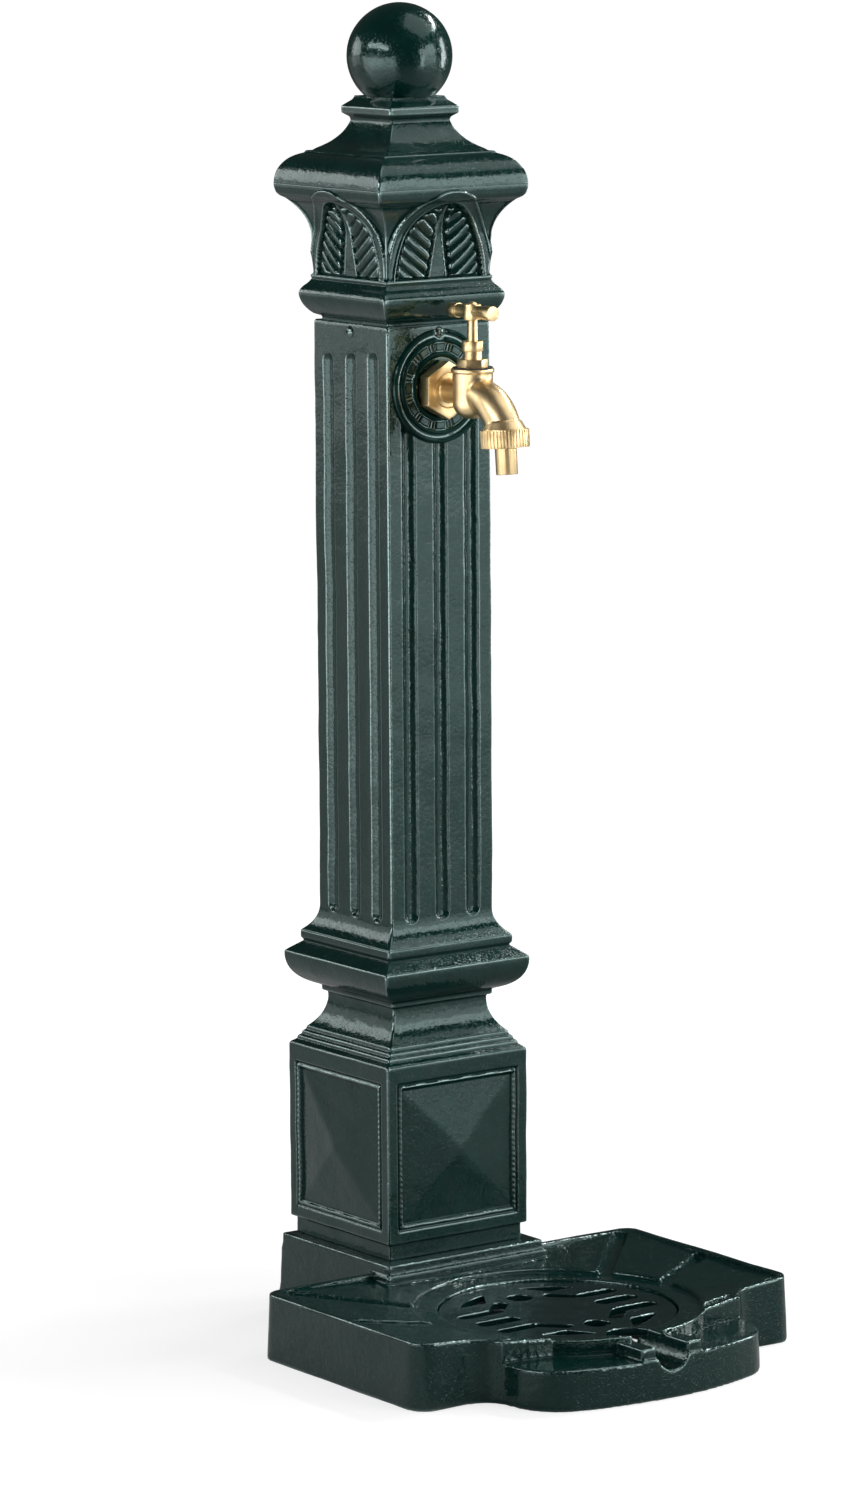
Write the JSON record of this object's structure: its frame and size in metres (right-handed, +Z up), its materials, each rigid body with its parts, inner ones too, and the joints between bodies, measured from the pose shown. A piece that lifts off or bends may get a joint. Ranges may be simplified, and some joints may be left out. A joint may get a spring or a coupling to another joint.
{
  "type": "garden standpipe",
  "caption": "Square fluted garden standpipe with a ball finial, leaf capital, brass bib tap with cross-bar handle, and a low drip basin with a slotted round grate and front spout.",
  "frame": {"origin": "centre of the footprint's bounding box, on the ground", "axes": "+Z up, -Y to the front where the basin and the tap are, +X to the right seen from the front"},
  "size_m": [0.28, 0.32, 0.8],
  "materials": {
    "painted_iron": "dark green gloss paint over a cast skin",
    "painted_grate": "dark green gloss paint",
    "dark_screw": "painted over, worn on the edges",
    "zinc_steel": "zinc plated",
    "plain_brass": "as machined",
    "polished_brass": "polished",
    "seal_rubber": "matt"
  },
  "bodies": {
    "standpipe": {"base_basin": "painted_iron", "column_casting": "painted_iron", "head_casting": "painted_iron", "head_screws": "dark_screw", "column_bolts": "zinc_steel", "column_washers": "zinc_steel", "tap_elbow": "plain_brass", "riser_pipe": "zinc_steel", "inlet_elbow": "plain_brass", "inlet_connector": "plain_brass", "inlet_gasket": "seal_rubber", "inlet_locknut": "plain_brass", "tap_gasket": "seal_rubber", "tap_locknut": "polished_brass", "tap_body": "polished_brass", "bonnet_seal": "seal_rubber", "bonnet": "polished_brass", "gland_packing": "seal_rubber", "gland_nut": "polished_brass"},
    "grate": {"drain_grate": "painted_grate"},
    "valve": {"jumper_valve": "plain_brass", "valve_washer": "seal_rubber", "jumper_nut": "plain_brass"},
    "handle": {"spindle": "polished_brass", "tee_handle": "polished_brass", "handle_screw": "polished_brass"},
    "outlet_tail": {"hose_tail": "polished_brass", "union_washer": "seal_rubber"},
    "union": {"union_nut": "polished_brass"}
  },
  "joints": [
    {"name": "grate_lift", "type": "slide", "parent": "standpipe", "child": "grate", "axis": [0, 0, 1], "range_m": [0, 0.12]},
    {"name": "valve_lift", "type": "slide", "parent": "standpipe", "child": "valve", "axis": [0, 0, 1], "range_m": [0, 0.003]},
    {"name": "handle_turn", "type": "hinge", "parent": "valve", "child": "handle", "pos_m": [0, 0.033, 0.62], "axis": [0, 0, 1], "range_deg": [0, 720]},
    {"name": "tail_slide", "type": "slide", "parent": "standpipe", "child": "outlet_tail", "axis": [0, -0.0872, -0.9962], "range_m": [0, 0.00544]},
    {"name": "union_turn", "type": "hinge", "parent": "outlet_tail", "child": "union", "pos_m": [0, 0.0016, 0.5526], "axis": [0, -0.0872, -0.9962], "range_deg": [0, 1080]}
  ],
  "couplings": [
    {"joint": "valve_lift", "follows": "handle_turn", "m_per_rad": 0.00023873},
    {"joint": "tail_slide", "follows": "union_turn", "m_per_rad": 0.00028871}
  ]
}
